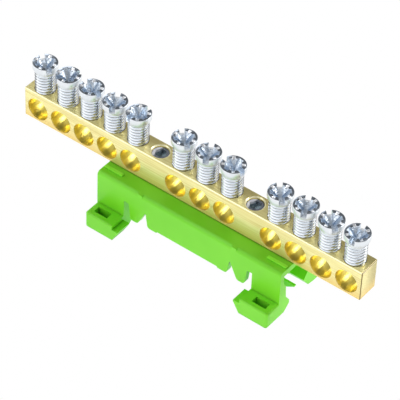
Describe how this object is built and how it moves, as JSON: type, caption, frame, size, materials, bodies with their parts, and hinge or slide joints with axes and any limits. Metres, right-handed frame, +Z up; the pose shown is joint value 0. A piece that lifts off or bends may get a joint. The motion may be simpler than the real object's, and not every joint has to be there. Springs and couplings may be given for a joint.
{
  "type": "earth terminal bar",
  "caption": "Brass earth terminal bar with wire holes and slotted clamping screws, on a green moulded carrier that clips onto a mounting rail.",
  "frame": {"origin": "on the ground under the bar's centre, in the plane of the carrier's feet", "axes": "+X along the bar, towards the group of four screws; +Y along the wire holes, towards the back; +Z up, the way the screws back out"},
  "size_m": [0.092, 0.0228, 0.0292],
  "materials": {
    "green_plastic": "satin moulded plastic",
    "brass": "drawn and machined",
    "zinc_steel": "bright zinc plated",
    "fixing_steel": "zinc plated"
  },
  "bodies": {
    "base": {"carrier": "green_plastic", "fixing_screw_1": "fixing_steel", "fixing_screw_2": "fixing_steel", "terminal_bar": "brass"},
    "screw_01": {"terminal_screw_01": "zinc_steel"},
    "screw_02": {"terminal_screw_02": "zinc_steel"},
    "screw_03": {"terminal_screw_03": "zinc_steel"},
    "screw_04": {"terminal_screw_04": "zinc_steel"},
    "screw_05": {"terminal_screw_05": "zinc_steel"},
    "screw_06": {"terminal_screw_06": "zinc_steel"},
    "screw_07": {"terminal_screw_07": "zinc_steel"},
    "screw_08": {"terminal_screw_08": "zinc_steel"},
    "screw_09": {"terminal_screw_09": "zinc_steel"},
    "screw_10": {"terminal_screw_10": "zinc_steel"},
    "screw_11": {"terminal_screw_11": "zinc_steel"},
    "screw_12": {"terminal_screw_12": "zinc_steel"}
  },
  "joints": [
    {"name": "screw_01_travel", "type": "slide", "parent": "base", "child": "screw_01", "axis": [0, 0, 1], "range_m": [-0.00481, 0.0006]},
    {"name": "screw_02_travel", "type": "slide", "parent": "base", "child": "screw_02", "axis": [0, 0, 1], "range_m": [-0.00481, 0.0006]},
    {"name": "screw_03_travel", "type": "slide", "parent": "base", "child": "screw_03", "axis": [0, 0, 1], "range_m": [-0.0049, 0.0006]},
    {"name": "screw_04_travel", "type": "slide", "parent": "base", "child": "screw_04", "axis": [0, 0, 1], "range_m": [-0.00466, 0.0006]},
    {"name": "screw_05_travel", "type": "slide", "parent": "base", "child": "screw_05", "axis": [0, 0, 1], "range_m": [-0.005, 0.0006]},
    {"name": "screw_06_travel", "type": "slide", "parent": "base", "child": "screw_06", "axis": [0, 0, 1], "range_m": [-0.00505, 0.0006]},
    {"name": "screw_07_travel", "type": "slide", "parent": "base", "child": "screw_07", "axis": [0, 0, 1], "range_m": [-0.00475, 0.0006]},
    {"name": "screw_08_travel", "type": "slide", "parent": "base", "child": "screw_08", "axis": [0, 0, 1], "range_m": [-0.0049, 0.0006]},
    {"name": "screw_09_travel", "type": "slide", "parent": "base", "child": "screw_09", "axis": [0, 0, 1], "range_m": [-0.00456, 0.0006]},
    {"name": "screw_10_travel", "type": "slide", "parent": "base", "child": "screw_10", "axis": [0, 0, 1], "range_m": [-0.00481, 0.0006]},
    {"name": "screw_11_travel", "type": "slide", "parent": "base", "child": "screw_11", "axis": [0, 0, 1], "range_m": [-0.0046, 0.0006]},
    {"name": "screw_12_travel", "type": "slide", "parent": "base", "child": "screw_12", "axis": [0, 0, 1], "range_m": [-0.00485, 0.0006]}
  ]
}
